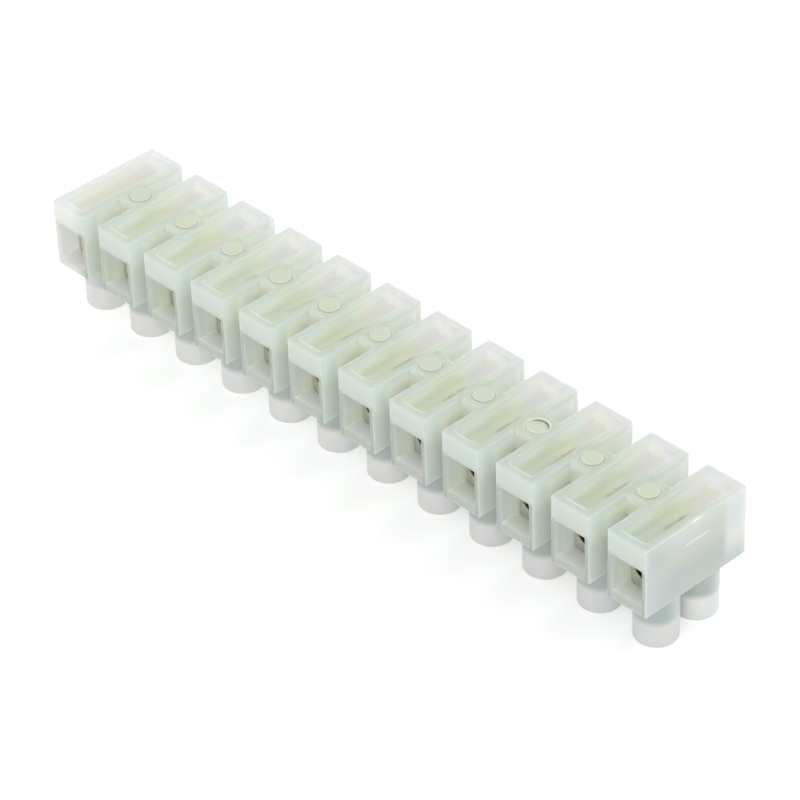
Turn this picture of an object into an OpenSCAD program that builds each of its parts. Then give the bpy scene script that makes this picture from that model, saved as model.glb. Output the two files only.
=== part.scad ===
// Screw terminal strip, lying on its screw towers with the base face up.
// X runs along the strip, Y along the wires, Z up. The towers stand on Z = 0.

/* [Strip] */
// Number of poles in the strip
poles = 12; // [2:1:12]
// Distance from one pole to the next
pitch = 10; // [9:0.1:14]
// Radius of the edges on the side of the screw towers
edge_r = 0.4; // [0.1:0.05:0.6]
// Radius of the edges round the base face
base_edge_r = 0.1; // [0.05:0.05:0.4]
// Radius of a pole's upright corners
corner_r = 0.2; // [0.1:0.05:0.6]

/* [Pole body] */
// Plastic beside the wire mouth
side_wall = 0.75; // [0.5:0.05:1.5]
// Plastic between the wire tunnel and the underside that carries the towers
floor_t = 1.4; // [0.6:0.05:2]
// Plastic between the wire mouth and the bottom of the base trough
roof_t = 1.4; // [0.8:0.05:2.5]
// Depth of the wire mouth in front of the metal insert
mouth_depth = 3.2; // [2:0.1:5]
// Room beside the insert at the wire mouth
mouth_lead = 0.4; // [0.1:0.05:0.8]
// Room above the insert at the wire mouth
mouth_headroom = 0.2; // [0.05:0.05:1]

/* [Base trough] */
// Depth of the core-out trough in the base face
trough_depth = 2.2; // [1:0.1:4]
// Width of the rim beside the trough
trough_rim = 1.15; // [0.7:0.05:1.6]
// Width of the rim at the trough's ends
trough_end_rim = 1.3; // [0.7:0.05:3]
// Radius of the trough's upright corners
trough_r = 0.5; // [0.3:0.1:1.2]
// Radius of the trough's floor edges
trough_floor_r = 0.8; // [0.3:0.1:1.2]

/* [Screw towers] */
// Outer diameter of a screw tower
tower_d = 6.2; // [5.6:0.1:6.7]
// Height of a screw tower below the pole body
tower_h = 7.6; // [6.5:0.1:12]
// Distance between a pole's two towers
tower_spacing = 7.6; // [7:0.1:9]
// Room around a screw head in its tower
head_clearance = 0.2; // [0.1:0.05:0.3]

/* [Webs and fixing holes] */
// Length of a web along the wires
web_l = 5.2; // [4.5:0.1:12]
// Thickness of a web, measured down from the base face
web_t = 3.2; // [1:0.1:5]
// Diameter of the fixing hole in a web
fixing_d = 3.1; // [2:0.1:3.4]
// Depth of the scar on an end pole where the next web was cut off
scar_depth = 0.1; // [0.05:0.01:0.2]

/* [Metal inserts] */
// Diameter of the wire bore
wire_d = 3.4; // [2:0.1:4]
// Metal on the threaded side of the wire bore
thread_wall = 1.55; // [1:0.05:2.5]
// Metal on the far side of the wire bore
crown_wall = 0.85; // [0.4:0.05:2]
// Metal beside the wire bore
cheek_wall = 0.5; // [0.3:0.05:1]
// Length of an insert
insert_l = 12.6; // [11.5:0.1:20]
// Corner radius of an insert's section
insert_r = 0.25; // [0.1:0.05:0.4]
// Gap between an insert and its seat
insert_clearance = 0.05; // [0.02:0.01:0.1]

/* [Clamp screws] */
// Thread diameter
thread_d = 3; // [2:0.1:3.4]
// Gap between a screw and its threaded hole
thread_clearance = 0.05; // [0.02:0.01:0.1]
// Head diameter
head_d = 4; // [3.5:0.1:4.4]
// Head height
head_h = 2; // [1:0.1:2.5]
// Width of the driver slot
slot_w = 0.7; // [0.4:0.05:1.2]
// Depth of the driver slot
slot_depth = 0.9; // [0.3:0.05:0.95]
// Chamfer on the head
head_chamfer = 0.3; // [0.1:0.05:0.4]
// Chamfer on the tip
tip_chamfer = 0.5; // [0.1:0.05:0.6]
// How far an open screw's tip lies back from the wire bore
tip_recess = 0.1; // [0.05:0.05:0.4]
// Gap left between a tightened screw and the metal around it
screw_stop_gap = 0.15; // [0.1:0.05:0.4]

/* [Hidden] */
$fn = 48;
overlap = 0.5;
sides = ["front", "rear"];

insert_w = wire_d + 2 * cheek_wall;
insert_h = thread_wall + wire_d + crown_wall;
seat_w = insert_w + 2 * insert_clearance;
seat_h = insert_h + 2 * insert_clearance;
mouth_w = seat_w + 2 * mouth_lead;
mouth_h = seat_h + mouth_headroom;

pole_w = mouth_w + 2 * side_wall;
pole_l = insert_l + 2 * mouth_depth;
body_h = floor_t + mouth_h + roof_t + trough_depth;
strip_l = (poles - 1) * pitch + pole_w;
gap = pitch - pole_w;

tunnel_z = tower_h + floor_t;
base_z = tower_h + body_h;
insert_z = tunnel_z + insert_clearance;
wire_z = insert_z + thread_wall + wire_d / 2;
well_d = head_d + 2 * head_clearance;
web_z = base_z - web_t;

tip_z = insert_z + thread_wall - tip_recess;
tip_reach = min(bore_room(thread_d / 2) + tip_chamfer, bore_room(thread_d / 2 - tip_chamfer));
screw_travel = wire_z + tip_reach - tip_z;
shank_l = tip_z + screw_travel - (insert_z - screw_stop_gap);

// How far past the bore's axis a screw of radius r stays clear of the bore's wall
function bore_room(r) = sqrt(max(0, pow(wire_d / 2 - screw_stop_gap, 2) - pow(r, 2)));
function two_digits(i) = i < 10 ? str("0", i) : str(i);
function insert_name(i) = str("insert_", two_digits(i));
function screw_name(i, side) = str("screw_", two_digits(i), "_", side);
function pole_x(i) = (i - (poles + 1) / 2) * pitch;
function side_y(side) = side == "front" ? -tower_spacing / 2 : tower_spacing / 2;

// A rectangle about its centre, with one radius at its two low corners and one at its high ones
module rounded_rect(w, l, low_r, high_r) {
    translate([-w / 2, low_r - l / 2])
        square([w, l - low_r - high_r]);
    for (end = [[-1, low_r], [1, high_r]])
        translate([0, end[0] * (l / 2 - end[1])]) {
            square([w - 2 * end[1], 2 * end[1]], center = true);
            for (x = [-1, 1])
                translate([x * (w / 2 - end[1]), 0])
                    circle(end[1]);
        }
}

// A block standing on Z = 0 with rounded upright corners, bottom edges and top edges
module rounded_block(w, l, h, upright_r, low_r, high_r) {
    intersection() {
        linear_extrude(h)
            rounded_rect(w, l, upright_r, upright_r);
        translate([0, l / 2, h / 2])
            rotate([90, 0, 0])
                linear_extrude(l)
                    rounded_rect(w, h, low_r, high_r);
        translate([-w / 2, 0, h / 2])
            rotate([90, 0, 90])
                linear_extrude(w)
                    rounded_rect(l, h, low_r, high_r);
    }
}

// One screw tower with a rounded foot, reaching a little into the pole body
module tower() {
    rotate_extrude() {
        square([tower_d / 2 - edge_r, tower_h]);
        translate([0, edge_r])
            square([tower_d / 2, tower_h - edge_r + overlap]);
        translate([tower_d / 2 - edge_r, edge_r])
            circle(edge_r);
    }
}

// One pole body on its two towers
module pole() {
    translate([0, 0, tower_h])
        rounded_block(pole_w, pole_l, body_h, corner_r, edge_r, base_edge_r);
    for (side = sides)
        translate([0, side_y(side), 0])
            tower();
}

// What is hollow in one pole: trough, wire mouths, insert seat and screw wells
module pole_hollows() {
    translate([0, 0, base_z - trough_depth])
        rounded_block(
            pole_w - 2 * trough_rim,
            pole_l - 2 * trough_end_rim,
            trough_depth + trough_floor_r + overlap,
            trough_r,
            trough_floor_r,
            trough_floor_r
        );
    for (turn = [0, 180])
        rotate([0, 0, turn])
            translate([-mouth_w / 2, insert_l / 2, tunnel_z])
                cube([mouth_w, mouth_depth + overlap, mouth_h]);
    translate([-seat_w / 2, -insert_l / 2 - overlap, tunnel_z])
        cube([seat_w, insert_l + 2 * overlap, seat_h]);
    for (side = sides)
        translate([0, side_y(side), -overlap])
            cylinder(d = well_d, h = tunnel_z + 2 * overlap);
}

// The bridge between two poles, flush with the base face
module web() {
    translate([-gap / 2 - overlap, -web_l / 2, web_z])
        cube([gap + 2 * overlap, web_l, web_t]);
}

// The shallow mark on an end pole where the next web was cut off
module break_scar() {
    translate([-scar_depth, -web_l / 2, web_z])
        cube([scar_depth + overlap, web_l, web_t + overlap]);
}

module housing() {
    color([0.84, 0.88, 0.81])
    difference() {
        union() {
            for (i = [1:poles])
                translate([pole_x(i), 0, 0])
                    pole();
            for (i = [1:poles - 1])
                translate([pole_x(i) + pitch / 2, 0, 0])
                    web();
        }
        for (i = [1:poles])
            translate([pole_x(i), 0, 0])
                pole_hollows();
        for (i = [1:poles - 1])
            translate([pole_x(i) + pitch / 2, 0, web_z - overlap])
                cylinder(d = fixing_d, h = web_t + 2 * overlap);
        for (turn = [0, 180])
            rotate([0, 0, turn])
                translate([strip_l / 2, 0, 0])
                    break_scar();
    }
}

module terminal_insert(i) {
    color([0.66, 0.65, 0.61])
    translate([pole_x(i), 0, 0])
    difference() {
        translate([0, insert_l / 2, 0])
            rotate([90, 0, 0])
                linear_extrude(insert_l)
                    difference() {
                        translate([0, insert_z + insert_h / 2])
                            rounded_rect(insert_w, insert_h, insert_r, insert_r);
                        translate([0, wire_z])
                            circle(d = wire_d);
                    }
        for (side = sides)
            translate([0, side_y(side), insert_z - overlap])
                cylinder(d = thread_d + 2 * thread_clearance, h = wire_z - insert_z + overlap);
    }
}

// Points up, with its tip just short of the wire bore and its slotted head below
module clamp_screw(i, side) {
    head_z = tip_z - shank_l - head_h;
    color([0.7, 0.71, 0.72])
    translate([pole_x(i), side_y(side), head_z])
    difference() {
        rotate_extrude()
            polygon([
                [0, 0],
                [head_d / 2 - head_chamfer, 0],
                [head_d / 2, head_chamfer],
                [head_d / 2, head_h],
                [thread_d / 2, head_h],
                [thread_d / 2, head_h + shank_l - tip_chamfer],
                [thread_d / 2 - tip_chamfer, head_h + shank_l],
                [0, head_h + shank_l]
            ]);
        translate([-head_d, -slot_w / 2, -overlap])
            cube([2 * head_d, slot_w, slot_depth + overlap]);
    }
}

housing();
for (i = [1:poles]) {
    terminal_insert(i);
    for (side = sides)
        clamp_screw(i, side);
}
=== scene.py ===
"""A twelve-way screw terminal strip of milky plastic, lying on its screw towers."""

import math
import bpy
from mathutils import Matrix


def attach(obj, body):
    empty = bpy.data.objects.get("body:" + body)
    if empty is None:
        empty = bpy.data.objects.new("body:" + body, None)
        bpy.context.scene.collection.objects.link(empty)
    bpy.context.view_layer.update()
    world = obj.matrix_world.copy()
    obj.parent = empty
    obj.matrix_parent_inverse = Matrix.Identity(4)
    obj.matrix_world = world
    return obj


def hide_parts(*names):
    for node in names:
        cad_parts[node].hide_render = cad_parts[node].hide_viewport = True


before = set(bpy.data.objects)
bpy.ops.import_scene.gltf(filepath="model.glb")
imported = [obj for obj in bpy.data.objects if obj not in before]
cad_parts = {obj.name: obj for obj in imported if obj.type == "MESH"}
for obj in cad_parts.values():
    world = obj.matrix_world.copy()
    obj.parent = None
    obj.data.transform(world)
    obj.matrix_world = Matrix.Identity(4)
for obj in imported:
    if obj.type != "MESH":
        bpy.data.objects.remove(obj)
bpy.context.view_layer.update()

from types import SimpleNamespace

import bmesh
import bpy
from mathutils import Matrix, Vector

# Poles of the strip; all sizes are in millimetres
MM = 0.001
POLES = 12
PITCH = 10.0
POLE_W = 6.8
POLE_L = 19.0
GAP = PITCH - POLE_W
STRIP_L = (POLES - 1) * PITCH + POLE_W
TOWER_H = 7.6
BASE_Z = 18.7
EDGE_R = 0.4
BASE_EDGE_R = 0.1
CORNER_R = 0.2

# Troughs in the base face
TROUGH_W = 4.5
TROUGH_L = 16.4
TROUGH_DEPTH = 2.2
TROUGH_Z = BASE_Z - TROUGH_DEPTH
TROUGH_R = 0.5
TROUGH_FLOOR_R = 0.8
RIM_R = 0.15

# Wire mouths, and the insert's seat between them
MOUTH_W = 5.3
MOUTH_LOW = 9.0
MOUTH_HIGH = 15.1
MOUTH_R = 0.22
MOUTH_RIM_R = 0.08
SEAT_W = 4.5
SEAT_LOW = 9.03
SEAT_HIGH = 14.9

# Screw towers and their wells
TOWER_R = 3.1
TOWER_Y = 3.8
WELL_R = 2.2
WELL_RIM_R = 0.22

# Webs and their fixing holes
WEB_L = 5.2
WEB_H = 3.2
WEB_Z = BASE_Z - WEB_H
WEB_R = 0.15
FIXING_R = 1.55
FIXING_RIM_R = 0.02

# Skins of flash in the fixing holes, one of them torn
SKIN_T = 0.3
SKIN_CLEAR = 0.01
SKIN_R = FIXING_R - SKIN_CLEAR
SKIN_DROP = 0.01
TORN_HOLE = 9
TORN_R = 1.46
TORN_SHIFT = (0.0, -0.06)
TORN_DROP = 0.14
TORN_TILT = math.radians(4)

# Scars at both ends: the depth, the share of the length that has it and the share left at the top
SCAR_DEPTH = 0.1
SCAR_FLAT = 0.8
SCAR_TOP = 0.25

# Clamp inserts
INSERT_W = 4.4
INSERT_LOW = 9.05
INSERT_HIGH = 14.85
INSERT_L = 12.6
INSERT_R = 0.25
INSERT_END_R = 0.12
WIRE_R = 1.7
WIRE_Z = 12.3
WIRE_RIM_R = 0.15
THREAD_HOLE_R = 1.55

# Clamp screws
TIP_Z = 10.5
TIP_CHAMFER = 0.5
SHANK_L = 4.29
HEAD_H = 2.0
HEAD_R = 2.0
HEAD_Z = TIP_Z - SHANK_L - HEAD_H
HEAD_EDGE_R = 0.3
NECK_Z = HEAD_Z + HEAD_H
NECK_EDGE_R = 0.15
THREAD_R = 1.5
THREAD_DEPTH = 0.28
THREAD_PITCH = 0.5
THREAD_START = 0.1
THREAD_RUN_OUT = 0.4
THREAD_CREST = 0.15
THREAD_FLANK = 1.3
SLOT_W = 0.7
SLOT_L = 3 * HEAD_R
SLOT_DEPTH = 0.9
SLOT_R = 0.04

# Turn of a slot from one screw to the next, in radians
SLOT_TURN = 2.4

# How far a cutter or a joining piece reaches past the face it meets
REACH = 0.5

# Fineness of the meshes
MIN_CORNER_R = 0.02
CORNER_STEPS = 6
ROUND_STEPS = 5
TOWER_SEGMENTS = 56
SCREW_SEGMENTS = 32
THREAD_ROWS = 62
SHARP_ANGLE = math.radians(38)

# Colours of the outer faces: OUTER is the plastic's own colour, most of the others are painted
# light and shade
WHITE = (1.0, 1.0, 1.0)
OUTER = (0.69, 0.745, 0.68)
# Painted shade: LOW_FRONT on the low part of the poles' end faces, FRAME_SIDE beside the mouths,
# FRONT_CORNER at the upright corners
LOW_FRONT = (0.54, 0.57, 0.51)
FRAME_SIDE = (0.43, 0.475, 0.42)
FRONT_CORNER = (0.60, 0.65, 0.60)
TOP_FACE = (0.66, 0.73, 0.64)
# Painted shade: TOP_NEAR towards the front of the top face, RIM_EDGE on the right rims' inner
# edges
TOP_NEAR = (0.61, 0.67, 0.60)
RIM_EDGE = (0.54, 0.59, 0.51)
WEB_TOP = (0.69, 0.765, 0.645)
# Painted shade: WEB_EDGE and WEB_LIP towards and along the webs' far edges; painted light:
# WEB_SIDE on the webs' ends and in the fixing holes, HOLE_RIM round the holes
WEB_EDGE = (0.60, 0.665, 0.56)
WEB_LIP = (0.40, 0.45, 0.37)
WEB_SIDE = (0.96, 0.995, 0.90)
HOLE_RIM = (0.94, 0.988, 0.895)
# Painted shade in the torn hole's gap
TORN_GAP = (0.42, 0.44, 0.36)
END_FACE = (0.67, 0.71, 0.665)
# Painted shade: END_FACE_NEAR towards the front, END_FACE_LOW low down; painted light:
# END_FACE_FAR beyond the inserts; SCAR_LEDGE is a painted highlight
END_FACE_NEAR = (0.61, 0.65, 0.625)
END_FACE_LOW = (0.58, 0.63, 0.605)
END_FACE_FAR = (0.755, 0.795, 0.785)
SCAR_LEDGE = (0.90, 0.93, 0.90)
# Painted light: FAR_END on the thin far ends; painted shade: FAR_EDGE along the far top edges
FAR_END = (0.77, 0.79, 0.77)
FAR_EDGE = (0.62, 0.64, 0.65)
# Painted shade on the poles' rear faces
REAR_FACE = (0.60, 0.65, 0.60)

# Colours of the gaps' walls, the troughs and the wire mouths: painted light lifts these hollows
# out of their shade, and the troughs also carry painted shade
GAP_WALL = (0.695, 0.735, 0.675)
# Painted light on the gaps' walls, higher up and most beside the webs
GAP_WALL_FRONT = (0.79, 0.845, 0.785)
GAP_WALL_DEEP = (0.97, 0.995, 0.87)
GAP_WALL_FAR = (0.96, 0.99, 0.96)
GAP_WALL_RIM = (0.73, 0.79, 0.74)
# Painted light in the troughs, except TROUGH_CENTRE and TROUGH_STREAK, which are painted shade on
# the floor
TROUGH_RIM = (0.73, 0.78, 0.71)
TROUGH_FAR_RIM = (0.87, 0.89, 0.88)
TROUGH_WALL = (0.91, 0.96, 0.89)
TROUGH_NEAR = (0.825, 0.87, 0.735)
TROUGH_CENTRE = (0.765, 0.81, 0.68)
TROUGH_MIDDLE = (0.90, 0.945, 0.80)
TROUGH_FAR = (0.985, 0.994, 0.94)
TROUGH_STREAK = (0.57, 0.625, 0.47)
TROUGH_END = (0.99, 0.99, 0.998)
# Painted light in the wire mouths, on the walls further in and on the sill
MOUTH_FRONT = (0.66, 0.715, 0.66)
MOUTH_WALL = (0.83, 0.87, 0.75)
MOUTH_SILL = (0.99, 0.97, 0.93)

# Colours of the towers and the hole skins, with painted light and shade on the towers and painted
# light on the skins
# Painted shade: the TOWER_TOP colours under the body; painted light: TOWER_TOP_LIT and the
# TOWER_FOOT colours, less on the near feet
TOWER_TOP = (0.535, 0.57, 0.56)
TOWER_TOP_NEAR = (0.45, 0.50, 0.465)
TOWER_TOP_END = (0.47, 0.54, 0.535)
TOWER_TOP_LIT = (0.67, 0.73, 0.72)
TOWER_FOOT = (0.998, 0.98, 0.995)
TOWER_FOOT_NEAR = (0.80, 0.79, 0.785)
TOWER_FOOT_REAR = (0.89, 0.92, 0.955)
HOLE_SKIN = (0.705, 0.77, 0.635)
# Painted light on the skins' edges
SKIN_EDGE = (0.82, 0.885, 0.745)

# Tints over the whole moulding: random clouds, then painted light and shade from front to back and
# from the far poles to the near ones, and painted light on the first pole
CLOUD_COOL = (0.965, 0.99, 1.0)
CLOUD_WARM = (1.0, 0.99, 0.94)
# Painted shade on the near poles, and painted light from front to back in the three colours after
# it
NEAR_POLES = (0.95, 0.945, 0.96)
FRONT_LIGHT_TINT = (0.98, 0.995, 1.0)
MIDDLE_LIGHT_TINT = (0.995, 1.0, 0.975)
REAR_LIGHT_TINT = (1.0, 0.985, 0.985)
# Painted light on the outer half of the first pole
PALE_END = (0.99, 0.955, 0.95)
PALE_SHARE = 0.5

# Small dark specks in the moulding, as (x, y, z, radius), full within radius / SPECK_CORE
SPECKS = ((58.4, -0.2, 8.0, 0.2), (18.4, -2.84, BASE_Z, 0.16), (-3.45, -2.14, BASE_Z, 0.16))
SPECK = (0.25, 0.27, 0.24)
SPECK_CORE = 3

# Below, a colour comes in from the first value of a span and is full at the second.
# X, Y and Z are places in the frame, SIDE and ACROSS count from the middle of a pole,
# ALONG from the strip's middle line and RING from the axis of a hole.

# How far inside a face its own colour begins, and the softness of its start
INSIDE = 0.03
TOP_SOFT = 0.35
FRONT_SOFT = 0.2
REAR_SOFT = 0.15
FAR_EDGE_SOFT = 0.9
CORNER_SOFT_ALONG = 0.35
CORNER_SOFT_ACROSS = 0.2
FRAME_SIDE_ACROSS = MOUTH_W / 2 + 0.1
FRAME_SIDE_SOFT = 0.1
GAP_WALL_SOFT = 0.1
WEB_SIDE_ACROSS = POLE_W / 2 + 0.2
WEB_SIDE_SOFT = 0.15

# Spans on the outer faces
LOW_FRONT_Z = (16.0, 14.5)
FAR_END_Y = (3.0, 8.0)
TOP_FACE_Y = (-4.0, 0.0)
RIM_EDGE_SIDE = (TROUGH_W / 2 + 0.7, TROUGH_W / 2 + 0.2)
RIM_EDGE_HALF = (0.0, 1.0)
RIM_EDGE_ALONG = (9.0, 8.0)
RIM_EDGE_Y = (4.0, 1.0)
WEB_ACROSS = (POLE_W / 2 - 0.3, POLE_W / 2 + 0.3)
WEB_EDGE_Y = (1.3, 2.0)
WEB_LIP_Y = (2.2, 2.45)
WEB_LIP_END_Y = (2.95, 2.65)
WEB_SIDE_Z = (BASE_Z - 0.1, BASE_Z - 0.5)
HOLE_RIM_RING = (FIXING_R + 0.5, FIXING_R + 0.1)
TORN_GAP_ACROSS = (PITCH / 2, PITCH / 2 - 0.5)
TORN_GAP_RING = (FIXING_R + 0.12, FIXING_R + 0.04)
TORN_GAP_Y = (0.3, 0.9)
TORN_GAP_Z = (BASE_Z - 0.05, BASE_Z - 0.12)
GAP_FRONT_Z = (13.0, 15.8)
GAP_DEEP_Z = (13.0, 15.5)
GAP_DEEP_Y = (-7.5, -6.0)
GAP_FAR_Y = (2.0, 4.0)
GAP_RIM_Z = (17.0, 18.5)
GAP_RIM_Y = (8.0, 9.3)

# Spans at the ends of the strip, the first two of them inward from its end faces
END_FACE_INWARD = (0.3, INSIDE)
GAPS_INWARD = (0.2, 1.4)
END_NEAR_Y = (-4.0, -7.0)
END_LOW_Z = (15.0, 11.0)
END_FAR_Y = (4.7, 6.2)
END_FAR_Z = (8.0, 12.0)
LEDGE_BOTTOM_Z = (WEB_Z - 0.2, WEB_Z - 0.02)
LEDGE_TOP_Z = (WEB_Z + 0.25, WEB_Z + 0.05)
LEDGE_ALONG = (WEB_L / 2, WEB_L / 2 - 0.8)
PALE_END_REACH = 3.3
PALE_END_Y = (9.4, 8.4)

# Spans in the troughs
TROUGH_ACROSS = (TROUGH_W / 2 + 0.25, TROUGH_W / 2 - 0.05)
TROUGH_ALONG = (TROUGH_L / 2 + 0.3, TROUGH_L / 2 - 0.1)
TROUGH_TOP_Z = (BASE_Z - 0.05, BASE_Z - 0.35)
TROUGH_BOTTOM_Z = (MOUTH_HIGH, MOUTH_HIGH + 0.5)
TROUGH_FLOOR_Z = (TROUGH_Z + 0.7, TROUGH_Z + 0.1)
TROUGH_RIM_Z = (BASE_Z - 1.3, BASE_Z - 0.2)
TROUGH_FAR_RIM_Y = (3.0, 7.0)
TROUGH_END_Y = (2.0, 6.0)
TROUGH_MIDDLE_Y = (-3.0, 1.0)
TROUGH_FAR_Y = (1.5, 5.0)
CENTRE_ACROSS = (1.0, 0.2)
CENTRE_Y = (1.0, -1.0)
STREAK_ACROSS = (0.75, 0.3)
STREAK_START_Y = (-3.4, -2.0)
STREAK_END_Y = (2.8, 0.8)
STREAK_RAGGED = 0.6

# Spans in the wire mouths
MOUTH_ACROSS = (MOUTH_W / 2 + 0.15, MOUTH_W / 2 - 0.05)
MOUTH_ALONG = (POLE_L / 2 - 0.05, POLE_L / 2 - 0.4)
MOUTH_BOTTOM_Z = (MOUTH_LOW - 0.2, MOUTH_LOW + 0.1)
MOUTH_TOP_Z = (MOUTH_HIGH + 0.2, MOUTH_HIGH - 0.1)
MOUTH_SILL_Z = (MOUTH_LOW + 0.3, MOUTH_LOW + 0.05)
MOUTH_FRONT_ALONG = (7.5, 9.0)

# Spans on the towers, the skins and the whole moulding; the last pole's is in pole numbers
TOWER_Z = (TOWER_H + 0.3, TOWER_H - 0.5)
TOWER_FOOT_Z = (HEAD_Z + 0.5, HEAD_Z - 0.9)
TOWER_LIT_Y = (-1.5, 1.5)
TOWER_REAR_Y = (-0.5, 0.5)
LAST_POLE = (POLES - 1.5, POLES - 0.5)
SKIN_EDGE_RING = (FIXING_R - 0.4, FIXING_R - 0.1)
NEAR_POLES_X = (-STRIP_L / 2, STRIP_L / 2)
MIDDLE_TINT_Y = (-5.0, 0.0)
FAR_TINT_Y = (7.0, 9.0)

# Noise in the finishes, as (waves in a metre, detail), and the levels at which marks come in
SATIN_CLOUDS = (330, 3.0)
SATIN_CLOUD_LEVELS = (0.38, 0.62)
SATIN_GRAIN = (2600, 3.0)
STREAK_NOISE = (900, 2.0)
PLATE_CLOUDS = (700, 4.0)
PLATE_CLOUD_LEVELS = (0.4, 0.65)
PLATE_RUBS = (6000, 2.0)
SAW_MARKS = (2200, 2.0)
SAW_MARK_LEVELS = (0.35, 0.6)
SAW_STRETCH = (1.0, 1.0, 0.2)

# Gloss and relief of the plastic, and how far light spreads in it
SATIN_ROUGHNESS = 0.3
GRAIN_ROUGHNESS = 0.16
CLOUD_RELIEF = 0.6
SATIN_BUMP = 0.3
BUMP_DEPTH = 0.02
PLASTIC_IOR = 1.5
COLOUR_SPREAD = (0.9, 0.9, 1.0)
MOULDING_SPREAD = 2.5
SKIN_SPREAD = 0.3

# Plated metal
NICKEL = (0.78, 0.77, 0.715)
NICKEL_DULL = (0.55, 0.54, 0.475)
ZINC = (0.86, 0.87, 0.88)
ZINC_DULL = (0.60, 0.60, 0.58)
# Painted shade in the inserts' bores and the screws' slots
PAINTED_SHADE_DARK = (0.19, 0.19, 0.15)
PLATE_ROUGHNESS = 0.24
WORN_ROUGHNESS = 0.2
RUB_ROUGHNESS = 0.12
RUB_RELIEF = 0.5
PLATE_BUMP = 0.25

# Wear on the inserts' ends and the screws' heads, and painted shade in bores and slots
INSERT_END_ALONG = (INSERT_L / 2 - 0.2, INSERT_L / 2 - 0.05)
END_WEAR = 0.5
SAW_WEAR = 0.6
BORE_RING = (WIRE_R + WIRE_RIM_R, WIRE_R + WIRE_RIM_R / 2)
DRIVER_WEAR = 0.6
DRIVER_WEAR_Z = (HEAD_Z + 0.5, HEAD_Z)
SLOT_SHADE = 0.6
SLOT_ACROSS = (SLOT_W / 2 + 0.05, SLOT_W / 2 - 0.02)
SLOT_IN_Z = (HEAD_Z + 0.1, HEAD_Z + SLOT_DEPTH)
SLOT_FLOOR_Z = (HEAD_Z + SLOT_DEPTH + 0.2, HEAD_Z + SLOT_DEPTH + 0.05)

# Studio, in metres; light levels are 1 for white
TENT_SIDES = 0.76
TENT_ROOF = 0.837
PAPER = (0.97, 0.97, 0.97)
PAPER_ROUGHNESS = 0.9
PAPER_LIFT = 0.3
FLOOR_R = 3
FLOOR_SEGMENTS = 64
LIGHT_BOUNCES = 16
DIFFUSE_BOUNCES = 12
CAMERA_LENS = 167.25
CAMERA_SENSOR = 36
CAMERA_CLIP = (0.01, 10)
CAMERA_PLACE = (0.30496, -0.27731, 0.31311)
CAMERA_RIGHT = (0.69388, 0.71939, -0.03179)
CAMERA_UP = (-0.41121, 0.43209, 0.80262)
CAMERA_LOOK = (-0.59113, 0.54385, -0.59564)

# Softboxes, as (name, place, aim, size, power in watts)
SOFTBOXES = (
    ("back_softbox", (-0.1, 0.7, 0.12), (0, 0, 0.01), 0.5, 2.64),
    ("front_softbox", (0.4, -0.4, 0.04), (0, 0, 0), 0.4, 0.995),
)


def pole_x(number):
    return (number - (POLES + 1) / 2) * PITCH


# Shaping


def linked(name, data):
    piece = bpy.data.objects.new(name, data)
    bpy.context.scene.collection.objects.link(piece)
    return piece


def rounded_loop(width, length, radius):
    """Points of a rounded rectangle about the origin."""
    points = []
    for sx, sy, start in ((1, 1, 0), (-1, 1, 90), (-1, -1, 180), (1, -1, 270)):
        for k in range(CORNER_STEPS + 1):
            angle = math.radians(start + 90 * k / CORNER_STEPS)
            points.append((
                sx * (width / 2 - radius) + radius * math.cos(angle),
                sy * (length / 2 - radius) + radius * math.sin(angle),
            ))
    return points


def circle_loop(radius, segments):
    turns = [2 * math.pi * k / segments for k in range(segments)]
    return [(radius * math.cos(a), radius * math.sin(a)) for a in turns]


def upright_loop(width, low, high, radius, y, out=0.0):
    """A rounded rectangle that faces along Y, from the height low to high."""
    return [
        (x, y, z + (low + high) / 2)
        for x, z in rounded_loop(width + 2 * out, high - low + 2 * out, radius + out)
    ]


def lofted(name, loops):
    """A closed skin over loops that all have the same number of points."""
    bm = bmesh.new()
    rings = [[bm.verts.new(p) for p in loop] for loop in loops]
    count = len(rings[0])
    for lower, upper in zip(rings, rings[1:]):
        for k in range(count):
            after = (k + 1) % count
            bm.faces.new((lower[k], lower[after], upper[after], upper[k]))
    bm.faces.new(rings[0][::-1])
    bm.faces.new(rings[-1])
    bmesh.ops.recalc_face_normals(bm, faces=bm.faces)
    mesh = bpy.data.meshes.new(name)
    bm.to_mesh(mesh)
    bm.free()
    return linked(name, mesh)


def quarter_turn():
    return [math.radians(90 * k / ROUND_STEPS) for k in range(ROUND_STEPS + 1)]


def round_in(start, direction, radius):
    """(height, inset) steps of a rounded edge that begins flat at start."""
    return [
        (start + direction * radius * (1 - math.cos(a)), radius * (1 - math.sin(a)))
        for a in quarter_turn()
    ]


def flare_out(start, direction, radius):
    """(height, outset) steps of a cutter that rounds the rim it leaves through at start."""
    return [
        (start - direction * radius * (1 - math.sin(a)), radius * (1 - math.cos(a)))
        for a in quarter_turn()
    ]


def along_z(width, length, radius, steps):
    """Loops of a rounded rectangle up a list of (z, inset) steps."""
    loops = []
    for z, inset in steps:
        corner = max(radius - inset, MIN_CORNER_R)
        outline = rounded_loop(width - 2 * inset, length - 2 * inset, corner)
        loops.append([(x, y, z) for x, y in outline])
    return loops


def turned_loops(steps, segments):
    return [[(x, y, z) for x, y in circle_loop(radius, segments)] for z, radius in steps]


def turned(name, steps, segments):
    """A lathe-turned piece about Z from a list of (z, radius) steps."""
    return lofted(name, turned_loops(steps, segments))


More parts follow.
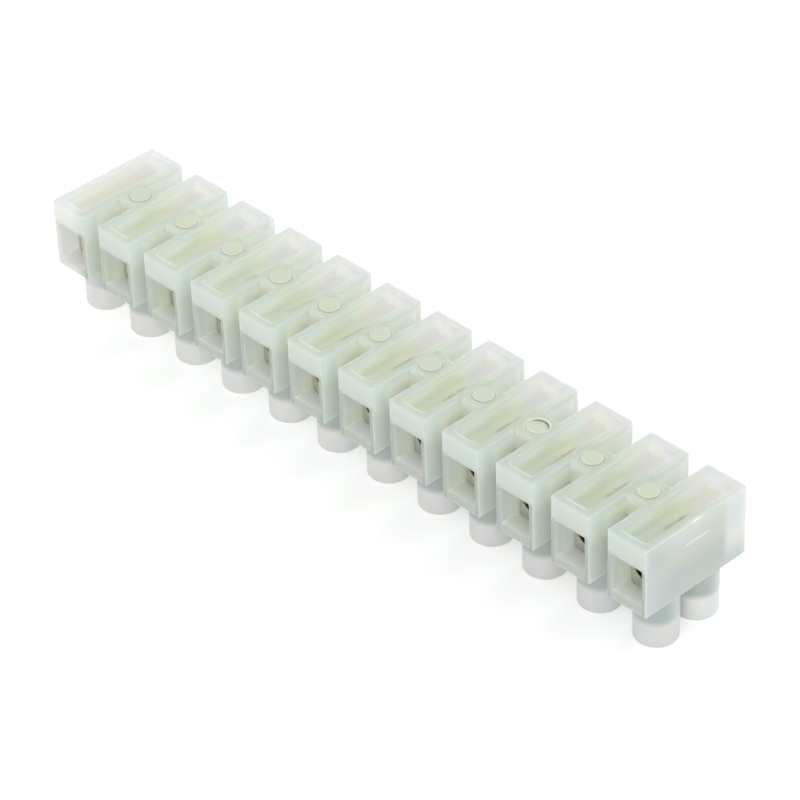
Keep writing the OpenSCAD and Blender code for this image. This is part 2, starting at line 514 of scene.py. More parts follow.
def combined(base, steps):
    """Joins to base, or cuts from it, each of a list of (operation, piece)."""
    for operation, piece in steps:
        joint = base.modifiers.new("joint", "BOOLEAN")
        joint.operation = operation
        joint.solver = "MANIFOLD"
        joint.object = piece
    bpy.context.view_layer.update()
    shaped = base.evaluated_get(bpy.context.evaluated_depsgraph_get())
    mesh = bpy.data.meshes.new_from_object(shaped)
    base.modifiers.clear()
    base.data = mesh
    for _, piece in steps:
        bpy.data.objects.remove(piece)
    return base


def repeated(name, mesh, places):
    """One mesh made of copies of mesh, moved to each place."""
    bm = bmesh.new()
    for place in places:
        start = len(bm.verts)
        bm.from_mesh(mesh)
        bm.verts.ensure_lookup_table()
        bmesh.ops.translate(bm, verts=bm.verts[start:], vec=place)
    joined = bpy.data.meshes.new(name)
    bm.to_mesh(joined)
    bm.free()
    return linked(name, joined)


def even_shading(piece):
    even = piece.modifiers.new("even_shading", "WEIGHTED_NORMAL")
    even.keep_sharp = True


def finished(piece, material):
    """Turns millimetres to metres, smooths the rounded edges and adds the finish."""
    piece.data.transform(Matrix.Scale(MM, 4))
    piece.data.shade_smooth()
    piece.data.set_sharp_from_angle(angle=SHARP_ANGLE)
    even_shading(piece)
    piece.data.materials.clear()
    piece.data.materials.append(material)
    return piece


# Housing


def pole_body():
    bottom = round_in(TOWER_H, 1, EDGE_R)
    top = round_in(BASE_Z, -1, BASE_EDGE_R)[::-1]
    return lofted("pole", along_z(POLE_W, POLE_L, CORNER_R, bottom + top))


def tower(y):
    foot = [(z, TOWER_R - inset) for z, inset in round_in(0, 1, EDGE_R)]
    piece = turned("tower", foot + [(TOWER_H + REACH, TOWER_R)], TOWER_SEGMENTS)
    piece.data.transform(Matrix.Translation((0, y, 0)))
    return piece


def well(y):
    rim = [(z, WELL_R + out) for z, out in flare_out(0, -1, WELL_RIM_R)][::-1]
    below = [(-REACH, WELL_R + WELL_RIM_R)]
    above = [(MOUTH_LOW + REACH, WELL_R)]
    piece = turned("well", below + rim + above, TOWER_SEGMENTS)
    piece.data.transform(Matrix.Translation((0, y, 0)))
    return piece


def trough():
    floor = round_in(TROUGH_Z, 1, TROUGH_FLOOR_R)
    rim = [(z, -out) for z, out in flare_out(BASE_Z, 1, RIM_R)]
    above = [(BASE_Z + REACH, -RIM_R)]
    return lofted("trough", along_z(TROUGH_W, TROUGH_L, TROUGH_R, floor + rim + above))


def wire_tunnel():
    """The two wire mouths and the insert's seat between them, as one cutter."""
    face = POLE_L / 2
    step = INSERT_L / 2
    rim = flare_out(face, 1, MOUTH_RIM_R) + [(face + REACH, MOUTH_RIM_R)]
    half = [upright_loop(SEAT_W, SEAT_LOW, SEAT_HIGH, MOUTH_R, step)]
    half.append(upright_loop(MOUTH_W, MOUTH_LOW, MOUTH_HIGH, MOUTH_R, step))
    half += [upright_loop(MOUTH_W, MOUTH_LOW, MOUTH_HIGH, MOUTH_R, y, out) for y, out in rim]
    front = [[(x, -y, z) for x, y, z in loop] for loop in half[::-1]]
    return lofted("tunnel", front + half)


def web():
    """The bridge between two poles, with soft edges and flush with the base face."""
    top = round_in(BASE_Z, -1, WEB_R)[::-1]
    bottom = round_in(WEB_Z, 1, WEB_R)
    outline = [(-WEB_L / 2 + inset, z) for z, inset in bottom + top]
    outline += [(-y, z) for y, z in outline[::-1]]
    side = GAP / 2 + REACH
    return lofted("web", [[(x, y, z) for y, z in outline] for x in (-side, side)])


def fixing_hole():
    rim = [(z, FIXING_R + out) for z, out in flare_out(BASE_Z, 1, FIXING_RIM_R)]
    below = [(WEB_Z - REACH, FIXING_R)]
    above = [(BASE_Z + REACH, FIXING_R + FIXING_RIM_R)]
    return turned("hole", below + rim + above, TOWER_SEGMENTS)


def break_scar():
    """A shallow wedge whose ledge lies at the underside of the web that was cut off."""
    loops = []
    for share, depth in ((-1, 0), (-SCAR_FLAT, SCAR_DEPTH), (SCAR_FLAT, SCAR_DEPTH), (1, 0)):
        wedge = [(-depth, WEB_Z), (REACH, WEB_Z), (REACH, BASE_Z), (-depth * SCAR_TOP, BASE_Z)]
        loops.append([(x, share * WEB_L / 2, z) for x, z in wedge])
    return lofted("scar", loops)


def hole_skins(material):
    """The thin skins of flash in the fixing holes, one of them torn along its far side."""
    top = BASE_Z - SKIN_DROP
    skin = turned("skin", [(top - SKIN_T, SKIN_R), (top, SKIN_R)], TOWER_SEGMENTS)
    torn = turned("torn_skin", [(-SKIN_T, TORN_R), (0, TORN_R)], TOWER_SEGMENTS)
    lowered = Matrix.Translation((*TORN_SHIFT, BASE_Z - TORN_DROP))
    torn.data.transform(lowered @ Matrix.Rotation(-TORN_TILT, 4, "X"))
    middles = {i: Vector((pole_x(i) + PITCH / 2, 0, 0)) for i in range(1, POLES)}
    places = [place for i, place in middles.items() if i != TORN_HOLE]
    skins = repeated("fixing_hole_skins", skin.data, places)
    torn_skin = repeated("torn_hole_skin", torn.data, [middles[TORN_HOLE]])
    bpy.data.objects.remove(skin)
    bpy.data.objects.remove(torn)
    for piece in (skins, torn_skin):
        finished(piece, material)
        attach(piece, "block")


def housing(material):
    pole = combined(pole_body(), [
        ("UNION", tower(-TOWER_Y)),
        ("UNION", tower(TOWER_Y)),
        ("DIFFERENCE", trough()),
        ("DIFFERENCE", wire_tunnel()),
        ("DIFFERENCE", well(-TOWER_Y)),
        ("DIFFERENCE", well(TOWER_Y)),
    ])
    bridge = web()
    hole = fixing_hole()
    scar = break_scar()
    centres = [Vector((pole_x(i), 0, 0)) for i in range(1, POLES + 1)]
    between = [c + Vector((PITCH / 2, 0, 0)) for c in centres[:-1]]
    end = [Vector((STRIP_L / 2, 0, 0))]
    strip = repeated("housing_moulding", pole.data, centres)
    bridges = repeated("bridges", bridge.data, between)
    holes = repeated("holes", hole.data, between)
    scars = repeated("scars", scar.data, end)
    far_scars = repeated("far_scars", scar.data, end)
    far_scars.data.transform(Matrix.Rotation(math.pi, 4, "Z"))
    for piece in (pole, bridge, hole, scar):
        bpy.data.objects.remove(piece)
    combined(strip, [
        ("UNION", bridges),
        ("DIFFERENCE", holes),
        ("DIFFERENCE", scars),
        ("DIFFERENCE", far_scars),
    ])
    finished(strip, material)
    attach(strip, "block")
    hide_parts("housing")


# Clamp inserts


def wire_bore():
    end = INSERT_L / 2
    rim = [(z, WIRE_R + out) for z, out in flare_out(end, 1, WIRE_RIM_R)]
    rim.append((end + REACH, WIRE_R + WIRE_RIM_R))
    bore = turned("bore", [(-z, r) for z, r in rim[::-1]] + rim, TOWER_SEGMENTS)
    bore.data.transform(
        Matrix.Translation((0, 0, WIRE_Z)) @ Matrix.Rotation(math.pi / 2, 4, "X")
    )
    return bore


def thread_hole(y):
    steps = [(INSERT_LOW - REACH, THREAD_HOLE_R), (WIRE_Z, THREAD_HOLE_R)]
    hole = turned("thread_hole", steps, TOWER_SEGMENTS)
    hole.data.transform(Matrix.Translation((0, y, 0)))
    return hole


def insert_blank(material):
    edge = round_in(-INSERT_L / 2, 1, INSERT_END_R)
    edges = edge + [(-y, inset) for y, inset in edge[::-1]]
    bar = lofted("insert_blank", [
        upright_loop(INSERT_W, INSERT_LOW, INSERT_HIGH, INSERT_R, y, -inset) for y, inset in edges
    ])
    combined(bar, [
        ("DIFFERENCE", wire_bore()),
        ("DIFFERENCE", thread_hole(-TOWER_Y)),
        ("DIFFERENCE", thread_hole(TOWER_Y)),
    ])
    return finished(bar, material)


def clamp_inserts(material):
    blank = insert_blank(material)
    for i in range(1, POLES + 1):
        piece = linked(f"clamp_insert_{i:02d}", blank.data)
        even_shading(piece)
        piece.location.x = pole_x(i) * MM
        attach(piece, "block")
        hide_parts(f"insert_{i:02d}")
    bpy.data.objects.remove(blank)


# Clamp screws


def thread_radius(angle, z, start, end):
    """Radius of the threaded shank, with the thread running out at both ends."""
    turn = (z / THREAD_PITCH - angle / (2 * math.pi)) % 1
    groove = 1 - abs(2 * turn - 1)
    cut = min(1, max(0, groove * THREAD_FLANK - THREAD_CREST))
    run_out = min(1, max(0, (z - start) / THREAD_RUN_OUT), max(0, (end - z) / THREAD_RUN_OUT))
    return THREAD_R - THREAD_DEPTH * run_out * cut


def thread_loops():
    tip = TIP_Z - TIP_CHAMFER
    loops = []
    for k in range(THREAD_ROWS + 1):
        z = NECK_Z + (tip - NECK_Z) * k / THREAD_ROWS
        loop = []
        for x, y in circle_loop(1, SCREW_SEGMENTS):
            r = thread_radius(math.atan2(y, x), z, NECK_Z + THREAD_START, tip)
            loop.append((x * r, y * r, z))
        loops.append(loop)
    return loops


def screw_blank(material):
    edges = round_in(HEAD_Z, 1, HEAD_EDGE_R) + round_in(NECK_Z, -1, NECK_EDGE_R)[::-1]
    head = turned_loops([(z, HEAD_R - inset) for z, inset in edges], SCREW_SEGMENTS)
    point = turned_loops([(TIP_Z, THREAD_R - TIP_CHAMFER)], SCREW_SEGMENTS)
    screw = lofted("screw_blank", head + thread_loops() + point)
    slot = lofted("slot", [
        [(x, y, z) for x, y in rounded_loop(SLOT_L, SLOT_W, SLOT_R)]
        for z in (HEAD_Z - REACH, HEAD_Z + SLOT_DEPTH)
    ])
    combined(screw, [("DIFFERENCE", slot)])
    return finished(screw, material)


def clamp_screws(material):
    blank = screw_blank(material)
    for i in range(1, POLES + 1):
        for k, (side, y) in enumerate((("front", -TOWER_Y), ("rear", TOWER_Y))):
            name = f"screw_{i:02d}_{side}"
            piece = linked(f"clamp_{name}", blank.data)
            even_shading(piece)
            piece.location = (pole_x(i) * MM, y * MM, 0)
            piece.rotation_euler.z = SLOT_TURN * (2 * i + k)
            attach(piece, name)
            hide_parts(name)
    bpy.data.objects.remove(blank)


# Nodes of the finishes


def new_material(name):
    material = bpy.data.materials.new(name)
    material.use_nodes = True
    tree = material.node_tree
    tree.nodes.clear()
    output = tree.nodes.new("ShaderNodeOutputMaterial")
    shader = tree.nodes.new("ShaderNodeBsdfPrincipled")
    tree.links.new(shader.outputs["BSDF"], output.inputs["Surface"])
    return material, tree, shader


def new_group(name, inputs, outputs):
    """An empty shader node group with named sockets."""
    group = bpy.data.node_groups.new(name, "ShaderNodeTree")
    for in_out, sockets in (("INPUT", inputs), ("OUTPUT", outputs)):
        for socket, kind in sockets.items():
            group.interface.new_socket(socket, in_out=in_out, socket_type=kind)
    return group


def fill(tree, socket, value):
    """Links a socket to another node's output, or sets it to a plain value."""
    if isinstance(value, bpy.types.NodeSocket):
        tree.links.new(value, socket)
    elif socket.type == "RGBA":
        socket.default_value = (*value, 1)
    else:
        socket.default_value = value


def maths(tree, operation, *values):
    node = tree.nodes.new("ShaderNodeMath")
    node.operation = operation
    for socket, value in zip(node.inputs, values):
        fill(tree, socket, value)
    return node.outputs["Value"]


def distance(tree, a, b):
    """Distance from an axis, given the two offsets across it."""
    squares = maths(tree, "MULTIPLY_ADD", a, a, maths(tree, "MULTIPLY", b, b))
    return maths(tree, "SQRT", squares)


def fade(tree, value, start, end):
    """Rises smoothly from 0 at start to 1 at end, on whichever side of start it lies."""
    node = tree.nodes.new("ShaderNodeMapRange")
    node.interpolation_type = "SMOOTHSTEP"
    fill(tree, node.inputs["Value"], value)
    node.inputs["From Min"].default_value = start
    node.inputs["From Max"].default_value = end
    return node.outputs["Result"]


def past(tree, value, limit, soft):
    """1 from just inside a face at limit, coming up over a soft stretch before it."""
    return fade(tree, value, limit - INSIDE - soft, limit - INSIDE)


def overlap(tree, *masks):
    """Where all of the masks are."""
    whole = masks[0]
    for mask in masks[1:]:
        whole = maths(tree, "MULTIPLY", whole, mask)
    return whole


def tinted(tree, colour, mask, tint):
    """The colour, turning to the tint where the mask is 1."""
    node = tree.nodes.new("ShaderNodeMix")
    node.data_type = "RGBA"
    fill(tree, node.inputs["Factor"], mask)
    fill(tree, node.inputs["A"], colour)
    fill(tree, node.inputs["B"], tint)
    return node.outputs["Result"]


def multiplied(tree, colour, tint):
    result = tinted(tree, colour, 1.0, tint)
    result.node.blend_type = "MULTIPLY"
    return result


def noise(tree, vector, scale, detail):
    node = tree.nodes.new("ShaderNodeTexNoise")
    node.inputs["Scale"].default_value = scale
    node.inputs["Detail"].default_value = detail
    tree.links.new(vector, node.inputs["Vector"])
    return node.outputs["Fac"]


def add_bump(tree, shader, height, strength):
    bump = tree.nodes.new("ShaderNodeBump")
    bump.inputs["Strength"].default_value = strength
    bump.inputs["Distance"].default_value = BUMP_DEPTH * MM
    fill(tree, bump.inputs["Height"], height)
    fill(tree, shader.inputs["Normal"], bump.outputs["Normal"])


def piece_places(tree, where):
    """The coordinates of a point on a piece, in millimetres."""
    parts = tree.nodes.new("ShaderNodeSeparateXYZ")
    fill(tree, parts.inputs["Vector"], where)
    return [maths(tree, "DIVIDE", parts.outputs[axis], MM) for axis in "XYZ"]


def strip_places(tree):
    """Where a point of the strip is, in millimetres, with distances from its pole and its hole."""
    where = tree.nodes.new("ShaderNodeTexCoord").outputs["Object"]
    x, y, z = piece_places(tree, where)
    from_end = maths(tree, "ADD", x, POLES * PITCH / 2)
    side = maths(tree, "SUBTRACT", maths(tree, "MODULO", from_end, PITCH), PITCH / 2)
    across = maths(tree, "ABSOLUTE", side)
    return SimpleNamespace(
        where=where, x=x, y=y, height=z, side=side, across=across,
        along=maths(tree, "ABSOLUTE", y),
        to_hole=distance(tree, maths(tree, "SUBTRACT", PITCH / 2, across), y),
    )


# Milky plastic


def moulded_satin():
    """Cloudy tint, uneven gloss and fine grain of the moulded plastic."""
    group = new_group(
        "moulded_satin",
        {"Place": "NodeSocketVector", "Colour": "NodeSocketColor"},
        {"Colour": "NodeSocketColor", "Roughness": "NodeSocketFloat", "Height": "NodeSocketFloat"},
    )
    given = group.nodes.new("NodeGroupInput").outputs
    result = group.nodes.new("NodeGroupOutput").inputs
    clouds = fade(group, noise(group, given["Place"], *SATIN_CLOUDS), *SATIN_CLOUD_LEVELS)
    grain = noise(group, given["Place"], *SATIN_GRAIN)
    tint = tinted(group, CLOUD_COOL, clouds, CLOUD_WARM)
    rough = maths(group, "MULTIPLY_ADD", grain, GRAIN_ROUGHNESS, SATIN_ROUGHNESS)
    fill(group, result["Colour"], multiplied(group, given["Colour"], tint))
    fill(group, result["Roughness"], rough)
    fill(group, result["Height"], maths(group, "MULTIPLY_ADD", clouds, CLOUD_RELIEF, grain))
    return group


def satin_finish(tree, shader, satin, where, colour, spread):
    """Gives a shader the moulded satin in a colour, with light spreading in the plastic."""
    finish = tree.nodes.new("ShaderNodeGroup")
    finish.node_tree = satin
    fill(tree, finish.inputs["Place"], where)
    fill(tree, finish.inputs["Colour"], colour)
    fill(tree, shader.inputs["Base Color"], finish.outputs["Colour"])
    fill(tree, shader.inputs["Roughness"], finish.outputs["Roughness"])
    add_bump(tree, shader, finish.outputs["Height"], SATIN_BUMP)
    shader.inputs["IOR"].default_value = PLASTIC_IOR
    shader.inputs["Subsurface Weight"].default_value = 1.0
    shader.inputs["Subsurface Radius"].default_value = COLOUR_SPREAD
    shader.inputs["Subsurface Scale"].default_value = spread * MM


def top_colour(tree, at):
    """The base face that lies up: the rims round the troughs and the webs between them, with
    painted shade towards the front, on the right rims' inner edges, on the far edges and along the
    webs' far edges, and painted light at the far ends and round the fixing holes.
    """
    rim_edge = overlap(
        tree,
        fade(tree, at.side, *RIM_EDGE_SIDE),
        fade(tree, at.side, *RIM_EDGE_HALF),
        fade(tree, at.along, *RIM_EDGE_ALONG),
        fade(tree, at.y, *RIM_EDGE_Y),
    )
    # Painted shade towards the front, painted light at the far end, painted shade on the far edge
    # and the right rim's inner edge
    rim = tinted(tree, TOP_NEAR, fade(tree, at.y, *TOP_FACE_Y), TOP_FACE)
    rim = tinted(tree, rim, fade(tree, at.y, *FAR_END_Y), FAR_END)
    rim = tinted(tree, rim, past(tree, at.y, POLE_L / 2, FAR_EDGE_SOFT), FAR_EDGE)
    rim = tinted(tree, rim, rim_edge, RIM_EDGE)
    # Painted shade towards and along the web's far edge
    lip = overlap(tree, fade(tree, at.y, *WEB_LIP_Y), fade(tree, at.y, *WEB_LIP_END_Y))
    web_face = tinted(tree, WEB_TOP, fade(tree, at.y, *WEB_EDGE_Y), WEB_EDGE)
    web_face = tinted(tree, web_face, lip, WEB_LIP)
    face = tinted(tree, rim, fade(tree, at.across, *WEB_ACROSS), web_face)
    # Painted light round the fixing hole
    return tinted(tree, face, fade(tree, at.to_hole, *HOLE_RIM_RING), HOLE_RIM)


def gap_wall_colour(tree, at):
    """The walls between two poles, lightest beside the web where the light is caught."""
    beside_web = overlap(tree, fade(tree, at.height, *GAP_DEEP_Z), fade(tree, at.y, *GAP_DEEP_Y))
    rim = maths(tree, "MAXIMUM", fade(tree, at.height, *GAP_RIM_Z), fade(tree, at.y, *GAP_RIM_Y))
    deep = tinted(tree, GAP_WALL_DEEP, fade(tree, at.y, *GAP_FAR_Y), GAP_WALL_FAR)
    wall = tinted(tree, GAP_WALL, fade(tree, at.height, *GAP_FRONT_Z), GAP_WALL_FRONT)
    wall = tinted(tree, wall, beside_web, deep)
    return tinted(tree, wall, rim, GAP_WALL_RIM)


def end_colour(tree, at):
    """The end faces of the strip, with painted shade towards the front and low down, painted light
    beyond the inserts towards the rear, and the pale ledge of the scar as a painted highlight.
    """
    far = overlap(tree, fade(tree, at.y, *END_FAR_Y), fade(tree, at.height, *END_FAR_Z))
    ledge = overlap(
        tree,
        fade(tree, at.height, *LEDGE_BOTTOM_Z),
        fade(tree, at.height, *LEDGE_TOP_Z),
        fade(tree, at.along, *LEDGE_ALONG),
    )
    face = tinted(tree, END_FACE, fade(tree, at.y, *END_NEAR_Y), END_FACE_NEAR)
    face = tinted(tree, face, fade(tree, at.height, *END_LOW_Z), END_FACE_LOW)
    face = tinted(tree, face, far, END_FACE_FAR)
    return tinted(tree, face, ledge, SCAR_LEDGE)


def torn_gap(tree, at):
    """Painted shade on the far wall of the hole whose skin is torn, dark where the gap lets one
    look in.
    """
    torn_x = pole_x(TORN_HOLE) + PITCH / 2
    beside = maths(tree, "ABSOLUTE", maths(tree, "SUBTRACT", at.x, torn_x))
    return overlap(
        tree,
        fade(tree, beside, *TORN_GAP_ACROSS),
        fade(tree, at.to_hole, *TORN_GAP_RING),
        fade(tree, at.y, *TORN_GAP_Y),
        fade(tree, at.height, *TORN_GAP_Z),
    )


def outer_colour(tree, at):
    """Outer faces: top, front, ends of the strip and the walls of the gaps, with painted light and
    shade laid over the plastic's own colour.
    """
    low_front = overlap(
        tree,
        past(tree, at.along, POLE_L / 2, FRONT_SOFT),
        fade(tree, at.height, *LOW_FRONT_Z),
    )
    beside_mouth = past(tree, at.across, FRAME_SIDE_ACROSS, FRAME_SIDE_SOFT)
    front_corner = overlap(
        tree,
        past(tree, at.along, POLE_L / 2, CORNER_SOFT_ALONG),
        past(tree, at.across, POLE_W / 2, CORNER_SOFT_ACROSS),
    )
    inward = maths(tree, "SUBTRACT", STRIP_L / 2, maths(tree, "ABSOLUTE", at.x))
    gap_wall = overlap(
        tree,
        past(tree, at.across, POLE_W / 2, GAP_WALL_SOFT),
        fade(tree, inward, *GAPS_INWARD),
    )
    web_side = overlap(
        tree,
        past(tree, at.across, WEB_SIDE_ACROSS, WEB_SIDE_SOFT),
        fade(tree, at.height, *WEB_SIDE_Z),
    )
    on_rear = past(tree, at.y, POLE_L / 2, REAR_SOFT)
    on_end = fade(tree, inward, *END_FACE_INWARD)
    on_top = past(tree, at.height, BASE_Z, TOP_SOFT)

    # Painted shade on the low end faces and beside the mouths
    colour = tinted(tree, OUTER, low_front, LOW_FRONT)
    colour = tinted(tree, colour, overlap(tree, low_front, beside_mouth), FRAME_SIDE)
    # Painted light at the far ends
    colour = tinted(tree, colour, fade(tree, at.y, *FAR_END_Y), FAR_END)
    # Painted shade on the rear faces
    colour = tinted(tree, colour, on_rear, REAR_FACE)
    colour = tinted(tree, colour, on_end, end_colour(tree, at))
    colour = tinted(tree, colour, gap_wall, gap_wall_colour(tree, at))
    # Painted shade at the upright corners
    colour = tinted(tree, colour, front_corner, FRONT_CORNER)
    colour = tinted(tree, colour, on_top, top_colour(tree, at))
    # Painted light on the webs' ends and in the fixing holes
    colour = tinted(tree, colour, web_side, WEB_SIDE)
    # Painted shade in the torn hole
    return tinted(tree, colour, torn_gap(tree, at), TORN_GAP)


def trough_colour(tree, at):
    """Painted light lifts the trough out of its shade, palest at the far end; the floor's near
    half is yellow-green, with painted shade at its middle and a ragged dark streak of painted
    shade.
    """
    # A ragged streak of painted shade along the floor's middle
    uneven = noise(tree, at.where, *STREAK_NOISE)
    streak = overlap(
        tree,
        fade(tree, maths(tree, "MULTIPLY_ADD", uneven, STREAK_RAGGED, at.across), *STREAK_ACROSS),
        fade(tree, at.y, *STREAK_START_Y),
        fade(tree, at.y, *STREAK_END_Y),
    )
    # Painted shade at the middle of the floor's near half
    centre = overlap(tree, fade(tree, at.across, *CENTRE_ACROSS), fade(tree, at.y, *CENTRE_Y))
    floor = tinted(tree, TROUGH_NEAR, fade(tree, at.y, *TROUGH_MIDDLE_Y), TROUGH_MIDDLE)
    floor = tinted(tree, floor, centre, TROUGH_CENTRE)
    floor = tinted(tree, floor, fade(tree, at.y, *TROUGH_FAR_Y), TROUGH_FAR)
    floor = tinted(tree, floor, streak, TROUGH_STREAK)
    rim = tinted(tree, TROUGH_RIM, fade(tree, at.y, *TROUGH_FAR_RIM_Y), TROUGH_FAR_RIM)
    wall = tinted(tree, TROUGH_WALL, fade(tree, at.y, *TROUGH_END_Y), TROUGH_END)
    wall = tinted(tree, wall, fade(tree, at.height, *TROUGH_RIM_Z), rim)
    return tinted(tree, wall, fade(tree, at.height, *TROUGH_FLOOR_Z), floor)


def mouth_colour(tree, at):
    """The walls of a wire mouth, lifted by painted light, with a pale sill of painted light."""
    mouth = tinted(tree, MOUTH_WALL, fade(tree, at.along, *MOUTH_FRONT_ALONG), MOUTH_FRONT)
    return tinted(tree, mouth, fade(tree, at.height, *MOUTH_SILL_Z), MOUTH_SILL)


def tower_colour(tree, at):
    """Painted shade on the upper tower, under the body and where the screw's head stands behind
    the wall, darker towards the near end, and painted light on the pale foot below it and on the
    rear side of the last pole's towers.
    """
    near = fade(tree, at.x, *NEAR_POLES_X)
    last_pole = fade(tree, at.x, *map(pole_x, LAST_POLE))
    axis_y = maths(tree, "MULTIPLY", maths(tree, "SIGN", at.y), TOWER_Y)
    from_axis = maths(tree, "SUBTRACT", at.y, axis_y)
    lit = overlap(tree, last_pole, fade(tree, from_axis, *TOWER_LIT_Y))
    rear = overlap(tree, last_pole, fade(tree, at.y, *TOWER_REAR_Y))
    foot = tinted(tree, TOWER_FOOT, near, TOWER_FOOT_NEAR)
    foot = tinted(tree, foot, rear, TOWER_FOOT_REAR)
    top = tinted(tree, TOWER_TOP, near, TOWER_TOP_NEAR)
    top = tinted(tree, top, last_pole, TOWER_TOP_END)
    top = tinted(tree, top, lit, TOWER_TOP_LIT)
    return tinted(tree, top, fade(tree, at.height, *TOWER_FOOT_Z), foot)


def speck(tree, at, place, radius):
    """A small round spot about a place on the strip."""
    apart = tree.nodes.new("ShaderNodeVectorMath")
    apart.operation = "DISTANCE"
    fill(tree, apart.inputs[0], at.where)
    fill(tree, apart.inputs[1], Vector(place) * MM)
    return fade(tree, apart.outputs["Value"], radius * MM, radius * MM / SPECK_CORE)


def moulding_light_and_shade(tree, at):
    """Painted light and shade that shift from front to back and from the far poles to the near
    ones.
    """
    tint = tinted(tree, FRONT_LIGHT_TINT, fade(tree, at.y, *MIDDLE_TINT_Y), MIDDLE_LIGHT_TINT)
    tint = tinted(tree, tint, fade(tree, at.y, *FAR_TINT_Y), REAR_LIGHT_TINT)
    near = tinted(tree, WHITE, fade(tree, at.x, *NEAR_POLES_X), NEAR_POLES)
    return multiplied(tree, tint, near)


def milky_plastic(satin):
    """Natural plastic whose colour carries painted light and shade: yellow-green where it is thick
    or hollowed and paler at thin ends.
    """
    material, tree, shader = new_material("milky_plastic")
    at = strip_places(tree)
    in_trough = overlap(
        tree,
        fade(tree, at.across, *TROUGH_ACROSS),
        fade(tree, at.along, *TROUGH_ALONG),
        fade(tree, at.height, *TROUGH_TOP_Z),
        fade(tree, at.height, *TROUGH_BOTTOM_Z),
    )
    in_mouth = overlap(
        tree,
        fade(tree, at.across, *MOUTH_ACROSS),
        fade(tree, at.along, *MOUTH_ALONG),
        fade(tree, at.height, *MOUTH_BOTTOM_Z),
        fade(tree, at.height, *MOUTH_TOP_Z),
    )
    on_tower = fade(tree, at.height, *TOWER_Z)
    first_pole = overlap(
        tree,
        fade(tree, at.x, pole_x(1) + PALE_END_REACH, pole_x(1)),
        fade(tree, at.y, *PALE_END_Y),
        PALE_SHARE,
    )

    # The troughs and the mouths are lifted by painted light; the towers carry painted light and
    # shade
    colour = tinted(tree, outer_colour(tree, at), in_trough, trough_colour(tree, at))
    colour = tinted(tree, colour, in_mouth, mouth_colour(tree, at))
    colour = tinted(tree, colour, on_tower, tower_colour(tree, at))
    # Painted light on the first pole
    colour = tinted(tree, colour, first_pole, PALE_END)
    for *place, radius in SPECKS:
        colour = tinted(tree, colour, speck(tree, at, place, radius), SPECK)
    # Painted light and shade over the whole moulding
    colour = multiplied(tree, colour, moulding_light_and_shade(tree, at))
    satin_finish(tree, shader, satin, at.where, colour, MOULDING_SPREAD)
    return material


def thin_skin(satin):
    """The same plastic where it is only a film, with painted light on its edge."""
    material, tree, shader = new_material("thin_skin")
    at = strip_places(tree)
    colour = tinted(tree, HOLE_SKIN, fade(tree, at.to_hole, *SKIN_EDGE_RING), SKIN_EDGE)
    satin_finish(tree, shader, satin, at.where, colour, SKIN_SPREAD)
    return material


# Plated metal


def plate_wear_and_shade():
    """Cloudy plating with fine rub marks and dark painted shade, shared by the inserts and the
    screws.
    """
    group = new_group(
        "plate_wear_and_shade",
        {
            "Place": "NodeSocketVector", "Bright": "NodeSocketColor", "Dull": "NodeSocketColor",
            "Wear": "NodeSocketFloat", "Painted Shade": "NodeSocketFloat",
        },
        {"Colour": "NodeSocketColor", "Roughness": "NodeSocketFloat", "Height": "NodeSocketFloat"},
    )
    given = group.nodes.new("NodeGroupInput").outputs
    result = group.nodes.new("NodeGroupOutput").inputs
    clouds = fade(group, noise(group, given["Place"], *PLATE_CLOUDS), *PLATE_CLOUD_LEVELS)
    rubs = noise(group, given["Place"], *PLATE_RUBS)
    worn = maths(group, "MAXIMUM", clouds, given["Wear"])
    plate = tinted(group, given["Bright"], worn, given["Dull"])
    rough = maths(group, "MULTIPLY_ADD", worn, WORN_ROUGHNESS, PLATE_ROUGHNESS)
    rough = maths(group, "MULTIPLY_ADD", rubs, RUB_ROUGHNESS, rough)
    fill(group, result["Colour"], tinted(group, plate, given["Painted Shade"], PAINTED_SHADE_DARK))
    fill(group, result["Roughness"], rough)
    fill(group, result["Height"], maths(group, "MULTIPLY_ADD", rubs, RUB_RELIEF, clouds))
    return group


def plated_metal(name, group, bright, dull, marks):
    """Plated metal; marks says where a piece is worn and where it gets painted shade."""
    material, tree, shader = new_material(name)
    where = tree.nodes.new("ShaderNodeTexCoord").outputs["Object"]
    wear, painted_shade = marks(tree, where)
    plate = tree.nodes.new("ShaderNodeGroup")
    plate.node_tree = group
    fill(tree, plate.inputs["Place"], where)
    fill(tree, plate.inputs["Bright"], bright)
    fill(tree, plate.inputs["Dull"], dull)
    fill(tree, plate.inputs["Wear"], wear)
    fill(tree, plate.inputs["Painted Shade"], painted_shade)
    fill(tree, shader.inputs["Base Color"], plate.outputs["Colour"])
    fill(tree, shader.inputs["Roughness"], plate.outputs["Roughness"])
    add_bump(tree, shader, plate.outputs["Height"], PLATE_BUMP)
    shader.inputs["Metallic"].default_value = 1.0
    return material


def insert_marks(tree, where):
    """Saw marks on the insert's end faces, where the plate is thin, and painted shade in the wire
    bore.
    """
    x, y, z = piece_places(tree, where)
    stretch = tree.nodes.new("ShaderNodeVectorMath")
    stretch.operation = "MULTIPLY"
    fill(tree, stretch.inputs[0], where)
    fill(tree, stretch.inputs[1], SAW_STRETCH)
    sawn = fade(tree, noise(tree, stretch.outputs["Vector"], *SAW_MARKS), *SAW_MARK_LEVELS)
    ends = fade(tree, maths(tree, "ABSOLUTE", y), *INSERT_END_ALONG)
    wear = overlap(tree, ends, maths(tree, "MULTIPLY_ADD", sawn, SAW_WEAR, END_WEAR))
    from_axis = distance(tree, x, maths(tree, "SUBTRACT", z, WIRE_Z))
    # Painted shade in the wire bore
    return wear, fade(tree, from_axis, *BORE_RING)


